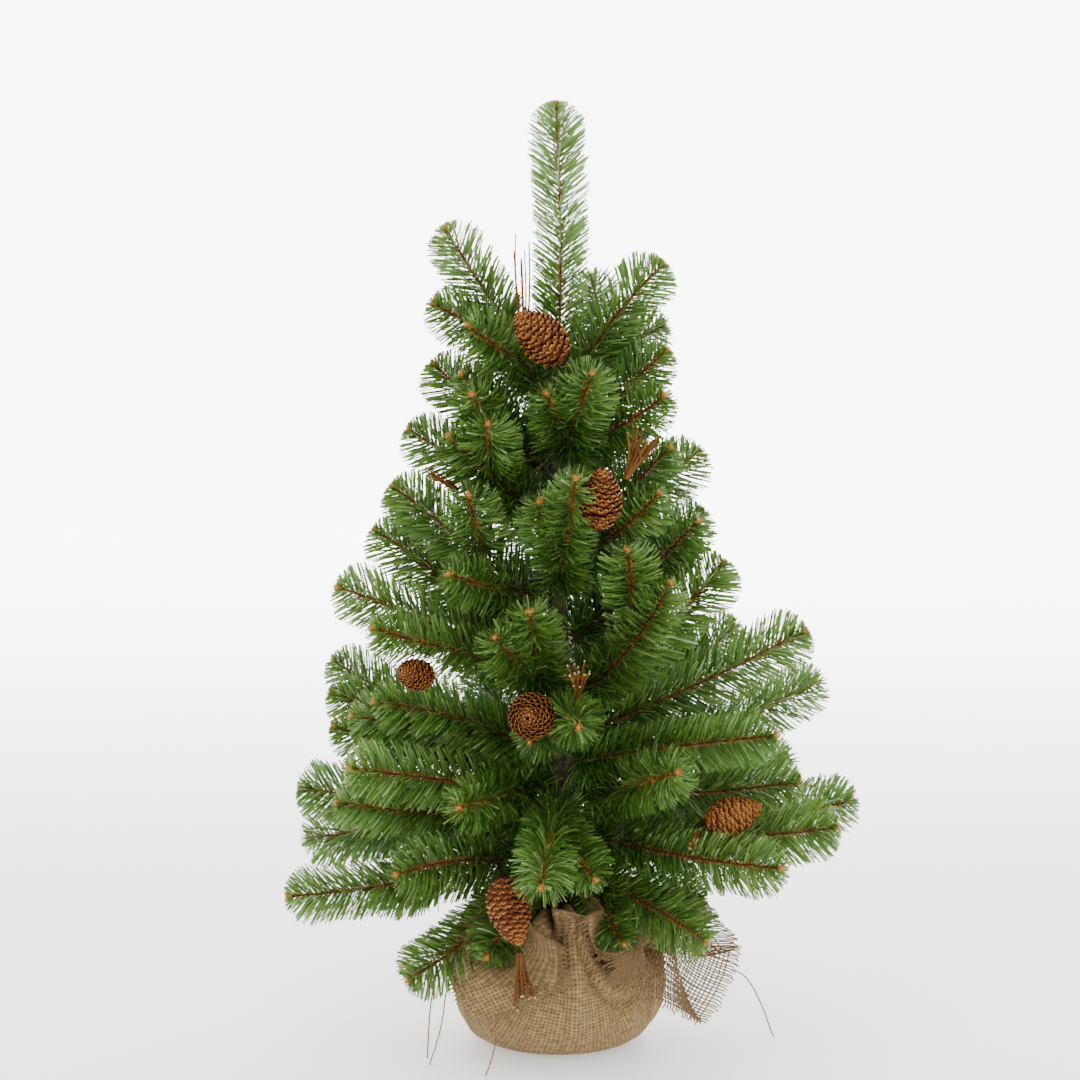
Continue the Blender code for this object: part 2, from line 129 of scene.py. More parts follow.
class Builder:
    """Collects quads from many small shapes into one mesh."""

    def __init__(self):
        self.verts, self.faces, self.finishes = [], [], []
        self.tones, self.along = [], []
        self.finish = 0
        self.count = 0

    def add(self, verts, faces, tone=0.0, along=1.0):
        """Adds a shape with a tone from dark to light and a share along it, for its material."""
        self.finishes.append(np.full(len(faces), self.finish))
        self.verts.append(verts)
        self.faces.append(faces + self.count)
        self.tones.append(np.broadcast_to(tone, len(verts)))
        self.along.append(np.broadcast_to(along, len(verts)))
        self.count += len(verts)

    def build(self, name):
        item = mesh_object(name, np.vstack(self.verts), np.vstack(self.faces),
                           attributes={"tone": np.concatenate(self.tones),
                                       "along": np.concatenate(self.along)})
        item.data.polygons.foreach_set("material_index",
                                       np.concatenate(self.finishes).astype(np.int32))
        return item


def grid_quads(index):
    """Quads of a grid, from the numbers of its vertices by row and column."""
    return np.stack([index[:-1, :-1], index[:-1, 1:], index[1:, 1:], index[1:, :-1]],
                    -1).reshape(-1, 4)


def rise(value, start, width):
    """From 0 at the start to 1 after the width, and flat on either side."""
    return np.clip((value - start) / width, 0, 1)


def unit(vectors):
    return vectors / np.maximum(np.linalg.norm(vectors, axis=-1, keepdims=True), 1e-12)


def around(side, over, angle):
    """The first direction turned towards the second by an angle."""
    return side * np.cos(angle)[..., None] + over * np.sin(angle)[..., None]


def quadratic(start, control, end, steps):
    share = np.linspace(0, 1, steps + 1)[:, None]
    rest = 1 - share
    return start * rest * rest + control * 2 * rest * share + end * share * share


def resample(points, step):
    """Points at an even step along a polyline, and the length before each."""
    hops = np.linalg.norm(np.diff(points, axis=0), axis=1)
    run = np.concatenate([[0], np.cumsum(hops)])
    count = max(2, int(run[-1] / step) + 1)
    at = np.linspace(0, run[-1], count)
    return np.stack([np.interp(at, run, points[:, axis]) for axis in range(3)], axis=1), at


def across_line(direction):
    """Some direction across the given one."""
    return np.cross(direction, UP if abs(direction[2]) < 0.9 else np.array([1.0, 0, 0]))


def frames(points):
    """Tangents and two turning-free side vectors along a line of points."""
    tangents = unit(np.gradient(points, axis=0))
    side = across_line(tangents[0])
    sides = []
    for tangent in tangents:
        side = unit(side - tangent * side.dot(tangent))
        sides.append(side)
    sides = np.array(sides)
    return tangents, sides, np.cross(tangents, sides)


def tube_shape(points, radii, sides):
    """Vertices and quads of an open-ended tube with one radius or one for each point."""
    _, across, over = frames(points)
    offsets = around(across[:, None, :], over[:, None, :], 2 * math.pi * np.arange(sides) / sides)
    verts = points[:, None, :] + offsets * np.reshape(radii, (-1, 1, 1))
    rings = np.arange(len(points) - 1)[:, None] * sides
    here = np.arange(sides)[None, :]
    after = (here + 1) % sides
    faces = np.stack([rings + here, rings + after, rings + sides + after, rings + sides + here],
                     axis=-1).reshape(-1, 4)
    return verts.reshape(-1, 3), faces


def capped_tube(points, radii, sides):
    """A tube with its ends drawn in to a point, so that it is closed."""
    radii = np.broadcast_to(radii, len(points))
    points = np.vstack([points[:1], points, points[-1:]])
    radii = np.concatenate([[radii[0] * 0.02], radii, [radii[-1] * 0.02]])
    points[0] -= unit(points[2] - points[1]) * 1e-5
    points[-1] += unit(points[-2] - points[-3]) * 1e-5
    return tube_shape(points, radii, sides)


# ---- materials

class Shader:
    """Small helper that builds a node material around one Principled shader."""

    def __init__(self, name, roughness, **numbers):
        self.material = bpy.data.materials.new(name)
        self.material.use_nodes = True
        self.tree = self.material.node_tree
        self.main = self.tree.nodes["Principled BSDF"]
        self.main.inputs["Roughness"].default_value = roughness
        for key, value in numbers.items():
            self.main.inputs[key].default_value = value

    def node(self, kind, **settings):
        made = self.tree.nodes.new("ShaderNode" + kind)
        for key, value in settings.items():
            setattr(made, key, value)
        return made

    def link(self, source, target):
        """Links an output to an input, or sets the input to a number or a colour."""
        if isinstance(source, (int, float)):
            target.default_value = source
        elif isinstance(source, tuple):
            target.default_value = (*source, 1)
        else:
            self.tree.links.new(source, target)

    def attribute(self, name):
        return self.node("Attribute", attribute_name=name).outputs["Fac"]

    def math(self, operation, *terms):
        made = self.node("Math", operation=operation)
        for term, socket in zip(terms, made.inputs):
            self.link(term, socket)
        return made.outputs[0]

    def noise(self, scale, detail, vector=None):
        made = self.node("TexNoise")
        vector = vector or self.node("TexCoord").outputs["Object"]
        for key, source in (("Scale", scale), ("Detail", detail), ("Roughness", 0.55),
                            ("Vector", vector)):
            self.link(source, made.inputs[key])
        return made.outputs["Fac"]

    def ramp(self, value, *stops):
        """Colours, or greys as one number, at places from 0 to 1."""
        made = self.node("ValToRGB")
        elements = made.color_ramp.elements
        while len(elements) < len(stops):
            elements.new(0.5)
        for element, (at, colour) in zip(elements, stops):
            element.position = at
            element.color = (*(colour if isinstance(colour, tuple) else (colour,) * 3), 1)
        self.link(value, made.inputs["Fac"])
        return made.outputs["Color"]

    def mix(self, share, first, second, blend='MIX'):
        made = self.node("Mix", data_type='RGBA', blend_type=blend)
        for slot, source in ((0, share), (6, first), (7, second)):
            self.link(source, made.inputs[slot])
        return made.outputs[2]

    def multiply(self, first, second):
        return self.mix(1.0, first, second, 'MULTIPLY')

    def bump(self, height, strength, distance):
        made = self.node("Bump")
        for key, source in (("Strength", strength), ("Distance", distance), ("Height", height)):
            self.link(source, made.inputs[key])
        self.link(made.outputs["Normal"], self.main.inputs["Normal"])

    def finish(self, colour, roughness=None):
        self.link(colour, self.main.inputs["Base Color"])
        if roughness is not None:
            self.link(roughness, self.main.inputs["Roughness"])
        return self.material


DULL = {"Specular IOR Level": 0.2}  # bark and dry scales hardly shine


def needle_material():
    """PVC strips: each strip its own green, paler towards the tree's outside as painted light and
    darker inside as painted shade.
    """
    shade = Shader("needle_pvc", 0.42)
    green = shade.ramp(shade.attribute("tone"),
                       (0.0, (0.011, 0.034, 0.003)), (0.32, (0.048, 0.122, 0.011)),
                       (0.60, (0.136, 0.254, 0.038)), (0.82, (0.270, 0.415, 0.130)),
                       (1.0, (0.48, 0.61, 0.35)))
    patches = shade.ramp(shade.noise(22, 2), (0.35, (0.82, 0.9, 0.8)), (0.65, (1.1, 1.06, 1.0)))
    along = shade.attribute("along")
    root = shade.ramp(along, (0.055, 1), (0.10, 0))
    colour = shade.mix(root, shade.multiply(green, patches), (0.34, 0.145, 0.036))
    gloss = shade.ramp(shade.noise(900, 2), (0.3, 0.32), (0.7, 0.52))
    shade.bump(shade.noise(1500, 2), 0.15, 0.0003)
    return shade.finish(colour, gloss)


def stem_material():
    """Rust-brown strips and wire of the twisted stem."""
    shade = Shader("stem_brown", 0.7, **DULL)
    brown = shade.ramp(shade.attribute("tone"),
                       (0.0, (0.05, 0.020, 0.007)), (0.4, (0.20, 0.075, 0.018)),
                       (0.75, (0.50, 0.200, 0.038)), (1.0, (0.72, 0.40, 0.12)))
    stain = shade.ramp(shade.noise(400, 3), (0.3, 0.7), (0.7, (1.15, 1.1, 1.05)))
    shade.bump(shade.noise(1200, 3), 0.3, 0.0004)
    return shade.finish(shade.multiply(brown, stain))


def cone_material():
    """Dry cone scales: red-brown faces, dark at their roots and undersides as painted shade,
    straw-coloured rims that carry a painted highlight.
    """
    shade = Shader("cone_scale", 0.62, **DULL)
    face = shade.ramp(shade.attribute("tone"),
                      (0.0, (0.010, 0.002, 0.001)), (0.45, (0.042, 0.009, 0.002)),
                      (0.75, (0.100, 0.024, 0.004)), (0.92, (0.22, 0.068, 0.011)),
                      (1.0, (0.52, 0.26, 0.065)))
    grain = shade.ramp(shade.noise(700, 4), (0.3, (0.72, 0.68, 0.66)), (0.72, (1.15, 1.12, 1.1)))
    shade.bump(shade.noise(900, 4), 0.45, 0.0005)
    rough = shade.ramp(shade.noise(500, 2), (0.3, 0.48), (0.7, 0.78))
    return shade.finish(shade.multiply(face, grain), rough)


def twig_material():
    shade = Shader("twig_bark", 0.66, **DULL)
    bark = shade.ramp(shade.attribute("tone"),
                      (0.0, (0.06, 0.022, 0.004)), (0.5, (0.17, 0.068, 0.010)),
                      (0.8, (0.28, 0.135, 0.030)), (1.0, (0.68, 0.50, 0.27)))
    stain = shade.ramp(shade.noise(500, 4), (0.3, (0.62, 0.6, 0.58)), (0.7, (1.15, 1.12, 1.08)))
    shade.bump(shade.noise(800, 4), 0.5, 0.0005)
    return shade.finish(shade.multiply(bark, stain))


def burlap_material():
    """Plain weave of jute: warp over weft from the cloth's own flat coordinates, darker where the
    weave is low as painted shade.
    """
    shade = Shader("burlap_weave", 0.92)
    flat = shade.node("UVMap", uv_map="cloth").outputs["UV"]
    wander = shade.noise(34, 2, vector=flat)
    split = shade.node("SeparateXYZ")
    shade.link(flat, split.inputs[0])
    drift = shade.math('MULTIPLY', shade.math('SUBTRACT', wander, 0.5), 1.6)
    profiles = []
    cells = []
    for axis in (0, 1):
        at = shade.math('ADD', shade.math('DIVIDE', split.outputs[axis], WEAVE_PITCH), drift)
        thread = shade.math('SINE', shade.math('MULTIPLY', at, math.pi))
        profiles.append(shade.math('POWER', shade.math('ABSOLUTE', thread), 0.6))
        cells.append(shade.math('FLOOR', at))
    parity = shade.math('PINGPONG', shade.math('ADD', *cells), 1.0)
    above = shade.math('MULTIPLY', parity, 0.16)
    warp = shade.math('MULTIPLY', profiles[0], shade.math('ADD', above, 0.84))
    weft = shade.math('MULTIPLY', profiles[1], shade.math('SUBTRACT', 1.0, above))
    height = shade.math('MAXIMUM', warp, weft)
    # Painted shade: the jute turns dark where the weave is low, between the threads and where one
    # passes under another.
    jute = shade.ramp(height, (0.35, (0.120, 0.076, 0.029)), (0.68, (0.215, 0.141, 0.058)),
                      (0.88, (0.30, 0.205, 0.088)), (1.0, (0.38, 0.270, 0.125)))
    slub = shade.ramp(shade.noise(300, 6, vector=flat), (0.28, (0.50, 0.46, 0.42)),
                      (0.72, (1.35, 1.32, 1.22)))
    colour = shade.multiply(jute, slub)
    shade.bump(height, 0.6, 0.0009)
    return shade.finish(colour)


def thread_material():
    shade = Shader("jute_thread", 0.9)
    hairy = shade.noise(900, 4)
    colour = shade.ramp(hairy, (0.25, (0.11, 0.062, 0.022)), (0.6, (0.25, 0.155, 0.062)),
                        (0.85, (0.42, 0.29, 0.13)))
    shade.bump(hairy, 0.7, 0.0005)
    return shade.finish(colour)


def plain_material(name, dark, light, roughness, scale, metallic, bump):
    """Mottled surface for the pieces that are mostly hidden."""
    shade = Shader(name, roughness, Metallic=metallic)
    mottle = shade.noise(scale, 4)
    rough = shade.ramp(mottle, (0.3, roughness * 0.8), (0.7, min(1, roughness * 1.15)))
    shade.bump(mottle, bump, 0.0006)
    return shade.finish(shade.ramp(mottle, (0.3, dark), (0.7, light)), rough)


NEEDLES = needle_material()
STEMS = stem_material()
CONE_FINISH = cone_material()
TWIG_FINISH = twig_material()
BURLAP = burlap_material()
THREAD = thread_material()


def place(item, finishes, body, stands_for=()):
    """Gives a piece its finishes, the body it rides on and the nodes it stands for."""
    for finish in finishes:
        item.data.materials.append(finish)
    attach(item, body)
    if stands_for:
        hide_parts(*stands_for)
    return item


# ---- stems from the frame

def welded(node):
    """A node's vertices without doubles, and each one's neighbours."""
    mesh = frame["nodes"][node].data
    points = np.array([vertex.co[:] for vertex in mesh.vertices])
    _, first, number = np.unique(np.round(points / 1e-5).astype(int), axis=0,
                                 return_index=True, return_inverse=True)
    links = [set() for _ in first]
    for edge in mesh.edges:
        near, far = number.ravel()[list(edge.vertices)]
        if near != far:
            links[near].add(far)
            links[far].add(near)
    return points[first], links


def shoot_ends(node, pivot):
    """Each shoot's end and heading: places further from the pivot than all around them."""
    points, links = welded(node)
    far = np.linalg.norm(points - pivot, axis=1)
    ends = []
    for index, near in enumerate(links):
        if near and far[index] > 0.025 and all(far[index] > far[k] for k in near):
            heading = points[index] - points[list(near)].mean(0)
            ends.append((points[index], unit(heading)))
    return ends


def stem_lines(joint):
    """Centre lines of a branch's shoots, the main stem first, by the same rule as the CAD's."""
    pivot = np.array(joint["pos_m"], dtype=float)
    axis = np.array(joint["axis"], dtype=float)
    outward = np.cross(UP, axis)
    outward = -outward if outward.dot(pivot) < 0 else outward
    ends = shoot_ends(joint["child"], pivot)

    def turned_away(found):
        return 1 - outward.dot(unit(found[0] * (1, 1, 0)))

    ends.sort(key=turned_away)
    lines = [shoot_line(pivot, *ends[0])]
    sides = sorted(ends[1:], key=lambda found: np.linalg.norm(found[0] - pivot))
    for order, (end, heading) in enumerate(sides):
        share = FIRST_FORK + (LAST_FORK - FIRST_FORK) * order / max(1, len(sides) - 1)
        spot = share * (len(lines[0]) - 1)
        index = int(spot)
        start = lines[0][index] + (lines[0][index + 1] - lines[0][index]) * (spot - index)
        lines.append(shoot_line(start, end, heading))
    return lines


def shoot_line(start, end, heading):
    """A shoot's curve, from its start to its end and heading, in as many steps as in the CAD."""
    chord = np.linalg.norm(end - start)
    control = end - heading * chord / 2
    return quadratic(start, control, end, max(4, round(chord / RING_STEP)))


def trunk_distance(points):
    return np.linalg.norm(points[:, :2], axis=1)


# ---- needles and stems

def needle_strips(points, run, start, rng, density, inner, share):
    """Corners of the needle strips on one shoot: (strips, 3 cross-sections, 2 edges, xyz)."""
    length = run[-1]
    tangents, across, over = frames(points)
    count = int((length - start) * density)
    at = start + (np.arange(count) + rng.random(count)) / count * (length - start - 0.5 * MM)
    crown = length - rng.uniform(0.3, 4.0, END_NEEDLES) * MM
    at = np.concatenate([at, crown, start + rng.uniform(0, INNER_REACH, inner) * MM])
    count = len(at)
    index = np.clip(np.searchsorted(run, at), 1, len(run) - 1)
    tangent = tangents[index]
    turn = 2 * math.pi * at / TWIST_PITCH + math.pi * rng.integers(0, 2, count)
    turn = turn + rng.normal(0, TURN_JITTER, count)
    radial = around(across[index], over[index], turn)
    from_tip = rise(length - at, 0, LEAN_CHANGE)
    lean = TIP_LEAN + (NEEDLE_LEAN - TIP_LEAN) * from_tip + rng.normal(0, 0.04, count)
    closing = rng.random(count) < np.exp(-(length - at) / (3 * MM)) * 0.7
    lean = np.where(closing, rng.uniform(0.3, 1.2, count), lean)
    lean[count - inner:] = rng.uniform(0.9, 2.2, inner)
    size = rounded_end(length - at, lean) * share * rng.normal(1, 0.025, count)
    first = unit(around(tangent, radial, lean))
    sweep = SWEEP + rng.normal(0, 0.04, count)
    second = unit(first + tangent * sweep[:, None] - UP * DROOP)
    flat = rng.normal(FLAT_TURN, 0.5, count)
    wide = unit(np.cross(first, tangent))
    wide = unit(around(wide, np.cross(first, wide), flat))
    foot = points[index] + radial * 0.7 * MM
    middle = foot + first * (size * 0.5)[:, None]
    end = middle + second * (size * 0.5)[:, None]
    half = NEEDLE_WIDTH / 2 * rng.normal(1, 0.08, count)
    return strip_corners((foot, middle, end),
                         [wide * (half * part)[:, None] for part in (0.8, 1.0, 0.85)])


def strip_corners(centres, edges):
    """Strips from the middles of their cross-sections and the way from there to an edge."""
    return np.stack([np.stack([centre - edge, centre + edge], axis=1)
                     for centre, edge in zip(centres, edges)], axis=1)


def rounded_end(left, lean):
    """Needle lengths that keep the brush's end round; left is the stem still ahead."""
    before = END_ROUND - PAST_TIP - left
    a = (np.cos(lean) / END_ROUND) ** 2 + (np.sin(lean) / END_RADIUS) ** 2
    b = 2 * before * np.cos(lean) / END_ROUND ** 2
    c = (before / END_ROUND) ** 2 - 1
    reach = (-b + np.sqrt(np.maximum(b * b - 4 * a * c, 0))) / (2 * a)
    past = before + NEEDLE_LENGTH * np.cos(lean) > 0
    return np.where(past, np.minimum(reach, NEEDLE_LENGTH), NEEDLE_LENGTH)


def strips_to_mesh(builder, strips, tones):
    """Adds strips of three cross-sections as two quads each."""
    count = len(strips)
    verts = strips.reshape(-1, 3)
    first = np.arange(count)[:, None] * 6
    faces = np.concatenate([first + np.array([0, 1, 3, 2]), first + np.array([2, 3, 5, 4])])
    tones = np.repeat(tones, 6) if tones.ndim == 1 else tones.ravel()
    builder.add(verts, faces, tones, np.tile([0.0, 0.0, 0.5, 0.5, 1.0, 1.0], count))


def needle_tones(strips, rng):
    """Each strip's green, dark near the trunk and on the low branches and pale outside and high
    up, as painted shade and light, a little paler at its end.
    """
    count = len(strips)
    middle = strips[:, 1].mean(1)
    reach = rise(trunk_distance(middle), 0, 0.13)
    high = rise(middle[:, 2], 0.38, 0.16)
    low = rise(0.24 - middle[:, 2], 0, 0.12)
    # Painted shade and light: darker towards the trunk and low down, paler outside and at the top.
    tone = (0.29 + 0.31 * np.maximum(reach, high) + 0.09 * high - 0.04 * low
            + rng.normal(0, 0.13, count))
    pale = rng.random(count) < 0.07
    tone = np.where(pale, tone + 0.25, tone)
    steps = np.array([-0.14, -0.14, 0.0, 0.0, 0.07, 0.07])
    return np.clip(tone[:, None] + steps[None, :], 0, 1)


def keep_off(strips, solids):
    """Which strips stay out of the cones, given as (centre, axis, half length, radius)."""
    keep = np.ones(len(strips), dtype=bool)
    middle, end = strips[:, 1].mean(1), strips[:, 2].mean(1)
    for centre, axis, half, radius in solids:
        for spot in (middle, end, (middle + end) / 2):
            offset = spot - centre
            along = offset @ axis
            off = np.linalg.norm(offset - along[:, None] * axis, axis=1)
            keep &= (along / half) ** 2 + (off / radius) ** 2 > 1
    return keep


def clear_of_trunk(strips):
    """Which strips don't run into the taped trunk."""
    middle, end = strips[:, 1].mean(1), strips[:, 2].mean(1)
    return np.minimum(trunk_distance(middle), trunk_distance(end)) > TRUNK_ROOM


def stem_shapes(builder, points, run, start, rng):
    """Two twisted wires, the short brown strips caught between them, and the bud."""
    fine, at = resample(points, WIRE_STEP)
    _, across, over = frames(fine)
    turn = 2 * math.pi * at / TWIST_PITCH
    for phase, tone in ((0, 0.28), (math.pi, 0.12)):
        wire = fine + around(across, over, turn + phase) * WIRE_OFFSET
        builder.add(*tube_shape(wire, WIRE_RADIUS, 4), tone)
    tangents, across, over = frames(points)
    count = int((run[-1] - start) * STEM_STRIPS_PER_M)
    spot = start + rng.random(count) * (run[-1] - start)
    cluster = np.round(spot / TWIST_PITCH) * TWIST_PITCH + rng.normal(0, 0.8 * MM, count)
    spot = np.clip(cluster, start, run[-1] - 0.2 * MM)
    index = np.clip(np.searchsorted(run, spot), 1, len(run) - 1)
    radial = around(across[index], over[index], rng.random(count) * 2 * math.pi)
    lean = rng.normal(1.05, 0.2, count)
    heading = around(tangents[index], radial, lean)
    short_strips(builder, points[index] + radial * 0.6 * MM, heading, tangents[index],
                 rng.normal(2.6, 0.4, count) * MM, rng.normal(0.82, 0.13, count), rng)
    bud(builder, points[-1], tangents[-1], across[-1], over[-1], rng)


def short_strips(builder, root, heading, tangent, size, tone, rng):
    """Adds narrow strips that start at their roots and point along their headings."""
    count = len(root)
    wide = unit(np.cross(heading, tangent + rng.normal(0, 0.3, (count, 3))))
    strips = strip_corners([root + heading * (size * share)[:, None] for share in (0, 0.6, 1)],
                           [wide * width * MM for width in (0.42, 0.45, 0.25)])
    strips_to_mesh(builder, strips, np.clip(tone, 0.1, 1))


def bud(builder, end, tangent, across, over, rng):
    """The tan tuft at a shoot's end."""
    count = 18
    lean = 0.12 + 0.5 * (np.arange(count) / count)
    radial = around(across, over, np.arange(count) * 2.4)
    heading = around(tangent, radial, lean)
    root = end - tangent * 0.6 * MM + radial * 0.7 * MM
    short_strips(builder, root, heading, np.broadcast_to(tangent, root.shape),
                 rng.normal(4.0, 0.5, count) * MM, rng.normal(0.92, 0.06, count), rng)
    knob = np.array([end - tangent * 1.4 * MM, end + tangent * 0.6 * MM, end + tangent * 2.4 * MM])
    builder.add(*capped_tube(knob, np.array([1.1, 1.7, 0.8]) * MM, 6), 0.88)


def dress_branch(joint, order, cones):
    """The needles and the stems of one branch, riding on its body."""
    body = joint["child"]
    rng = np.random.default_rng(100 + order)
    builder = Builder()
    leader = body == "leader"
    lines = leader_line(joint) if leader else stem_lines(joint)
    for number, line in enumerate(lines):
        points, run = resample(smooth_line(line), LINE_STEP)
        start = BARE_SIDE if number else BARE_MAIN
        density = NEEDLES_PER_M * (LEADER_DENSITY if leader else 1)
        inner = 0 if number or leader else INNER_NEEDLES
        share = LEADER_SHARE if leader else rng.uniform(*LENGTH_SHARE)
        strips = needle_strips(points, run, start, rng, density, inner, share)
        if not leader:
            strips = strips[clear_of_trunk(strips)]
        strips = strips[keep_off(strips, cones)]
        builder.finish = 0
        strips_to_mesh(builder, strips, needle_tones(strips, rng))
        builder.finish = 1
        stem_shapes(builder, points, run, start * 0.6, rng)
    place(builder.build("foliage_" + body), (NEEDLES, STEMS), body, [body])


def smooth_line(line):
    """A rounder line through the same stem, by splitting and averaging twice."""
    for _ in range(2):
        middle = (line[1:] + line[:-1]) / 2
        full = np.empty((len(line) + len(middle), 3))
        full[0::2] = line
        full[1::2] = middle
        inner = (full[2:] + full[1:-1] * 2 + full[:-2]) / 4
        line = np.vstack([full[:1], inner, full[-1:]])
    return line


def leader_line(joint):
    """The top shoot: from its bend on the trunk up to the end of its CAD node, a little bowed."""
    foot = np.array(joint["pos_m"], dtype=float)
    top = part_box("leader")[1].z
    share = np.linspace(0, 1, 14)[:, None]
    line = foot + (top - foot[2]) * share * UP
    line[:, 0] += np.sin(share[:, 0] * math.pi * 1.3) * LEADER_BOW
    return [line]


# ---- cones and twigs

# Centre mm, direction of the tip, length mm, diameter mm and body, as in the CAD model, and how
# much paler than usual the cone is.
CONES = {
    "cone_top": ((-10, -40, 462), (-0.66, -0.35, 0.66), 44, 29, "root", 0.02),
    "cone_upper_right": ((26, -68, 364), (0.02, -0.45, 0.9), 44, 26, "branch_28_front", -0.03),
    "cone_middle": ((-17, -84, 231), (-0.1, -0.97, 0.15), 40, 29, "branch_17_front", -0.02),
    "cone_low_front": ((-31, -84, 108), (0.28, -0.25, -0.93), 44, 27, "branch_08_front", 0.0),
    "cone_right": ((110, -42, 157), (0.94, 0.1, 0.3), 38, 25, "branch_05_right", 0.13),
    "cone_left": ((-90, -46, 250), (-0.5, -0.75, 0.3), 32, 20, "branch_21_left", 0.0),
}
# Knot mm, direction, length mm, spread deg, number of long twigs less two, and body. Knot,
# direction and body are the CAD model's.
TWIGS = {
    "twigs_top": ((-22, -26, 462), (-0.03, 0.05, 1.0), 70, 7, 4, "root"),
    "twigs_upper_right": ((43, -52, 378), (0.45, 0.1, 0.85), 36, 38, 9, "branch_29_right"),
    "twigs_middle": ((12, -76, 243), (0.1, -0.45, 0.88), 24, 32, 9, "branch_17_front"),
    "twigs_low_front": ((-24, -88, 78), (0.05, 0.0, -1.0), 36, 19, 8, "branch_08_front"),
    "twigs_right": ((88, -50, 147), (-0.3, -0.4, -0.75), 14, 30, 3, "branch_05_right"),
    "twigs_left": ((-66, -26, 366), (-0.8, -0.1, 0.6), 26, 12, 3, "branch_26_front_left"),
    "twigs_back_right": ((78, 24, 300), (0.6, 0.2, 0.75), 24, 24, 4, "branch_25_right"),
}
GOLDEN = math.radians(137.508)


def directions(axis):
    """An axis at unit length and two directions across it."""
    axis = unit(np.array(axis))
    side = unit(across_line(axis))
    return axis, side, np.cross(axis, side)


def egg(share):
    """The cone's half width against its height, both as shares."""
    return np.sin(np.pi * np.clip(share, 0, 1) ** 0.78) ** 0.62


def cone_scale(width, length, cup, thickness):
    """One scale in its own frame: x across, y outward along the scale, z off its face."""
    u, v = np.meshgrid(np.linspace(-1, 1, 7), np.linspace(0, 1, 6))
    spread = width / 2 * np.sqrt(np.clip(1 - (np.clip(v - 0.45, 0, 1) / 0.56) ** 2, 0.01, 1))
    spread = spread * (0.55 + 0.45 * np.clip(v / 0.45, 0, 1))
    z = -cup * u ** 2 - 0.10 * length * v ** 2
    thick = thickness * (0.5 + 0.5 * v) * (1 - 0.55 * u ** 2)
    verts = [np.stack([u * spread, v * length, z + side * thick / 2], -1).reshape(-1, 3)
             for side in (1, -1)]
    # Painted shade and light: each scale dark at its root, deep between the others, and pale along
    # its rim, partly a painted highlight.
    rim = np.maximum(rise(v, 0.72, 0.28), rise(np.abs(u), 0.7, 0.3) * v)
    tone = (0.16 + 0.55 * v + 0.32 * rim).reshape(-1)
    index = np.arange(u.size).reshape(u.shape)
    quads = grid_quads(index)
    loop = np.concatenate([index[0], index[1:, -1], index[-1, -2::-1], index[-2:0:-1, 0]])
    after = np.roll(loop, -1)
    faces = np.vstack([quads, quads[:, ::-1] + u.size,
                       np.stack([after, loop, loop + u.size, after + u.size], -1)])
    # The underside gets 0.6 of the top's tone: painted shade.
    return np.vstack(verts), faces, np.append(tone, tone * 0.6)


def build_cone(name, spec, order):
    """A cone of overlapping scales in a spiral round a dark core, its darkness painted shade
    between the scales.
    """
    centre, axis, length, diameter, body, pale = spec
    rng = np.random.default_rng(500 + order)
    axis, side, over = directions(axis)
    centre = np.array(centre) * MM
    length = length * MM
    radius = diameter / 2 * MM
    builder = Builder()
    core_at = np.linspace(0.02, 0.96, 14)
    core = centre + axis * ((core_at - 0.5) * length)[:, None]
    # The core's near-black tone is painted shade between the scales.
    builder.add(*capped_tube(core, egg(core_at) * radius * 0.60, 12), 0.05)
    total = 150
    for index in range(total):
        share = 0.03 + 0.955 * ((index + 0.5) / total) ** 0.92
        out = around(side, over, GOLDEN * index)
        width = egg(np.array([share]))[0]
        opening = math.radians(72 - 40 * share - 26 * max(0, share - 0.85) / 0.15
                               + rng.normal(0, 4))
        size = radius * (0.44 + 0.20 * width)
        verts, faces, tone = cone_scale(size * 1.2, size * 1.12, size * 0.16, 0.6 * MM)
        along = around(axis, out, opening)
        across = unit(np.cross(along, out))
        face_up = np.cross(across, along)
        face_up = face_up if face_up.dot(out) > 0 else -face_up
        reach = max(0.0, width * radius - size * 1.12 * math.sin(opening) * 0.86)
        base = centre + axis * (share - 0.5) * length * 0.92 - axis * size * 0.42 + out * reach
        placed = base + verts[:, :1] * across + verts[:, 1:2] * along + verts[:, 2:] * face_up
        builder.add(placed, faces, np.clip(tone + pale + rng.normal(0, 0.05), 0, 1))
    wire_foot = centre - axis * length * 0.46
    wire = np.array([wire_foot, wire_foot - axis * 5 * MM])
    builder.add(*capped_tube(wire, np.array([1.3, 0.9]) * MM, 6), 0.3)
    place(builder.build(name + "_scales"), (CONE_FINISH,), body, [name])


def build_twigs(name, spec, order):
    """Bent, knobbly twigs with pale cut ends, spread from a wire-bound knot."""
    knot, axis, length, spread, count, body = spec
    rng = np.random.default_rng(700 + order)
    axis, side, over = directions(axis)
    knot = np.array(knot) * MM
    builder = Builder()
    for index in range(count + 2):
        lean = math.radians(spread) * (0.35 + 0.65 * ((index * 3) % count) / count)
        size = length * MM * (0.70 + 0.30 * ((index * 5) % count) / count)
        out = around(side, over, 2.4 * index)
        start = knot + out * 1.2 * MM - axis * 3 * MM
        control = knot + (axis * 0.85 + out * 0.2) * size * 0.5
        end = knot + around(axis, out, lean) * size
        twig_shape(builder, start, control, end, rng.uniform(0.7, 1.05) * MM, rng)
        if index % 2 == 0 and length < 40:
            fork = (start + control * 2 + end) / 4
            branch_end = fork + unit(end - fork + side * rng.normal(0, 1) * size * 0.4
                                     + over * rng.normal(0, 1) * size * 0.4) * size * 0.42
            twig_shape(builder, fork, (fork + branch_end) / 2 + out * 1.5 * MM, branch_end,
                       0.75 * MM, rng)
    binding(builder, knot, axis, side, over)
    place(builder.build(name + "_bundle"), (TWIG_FINISH,), body, [name])


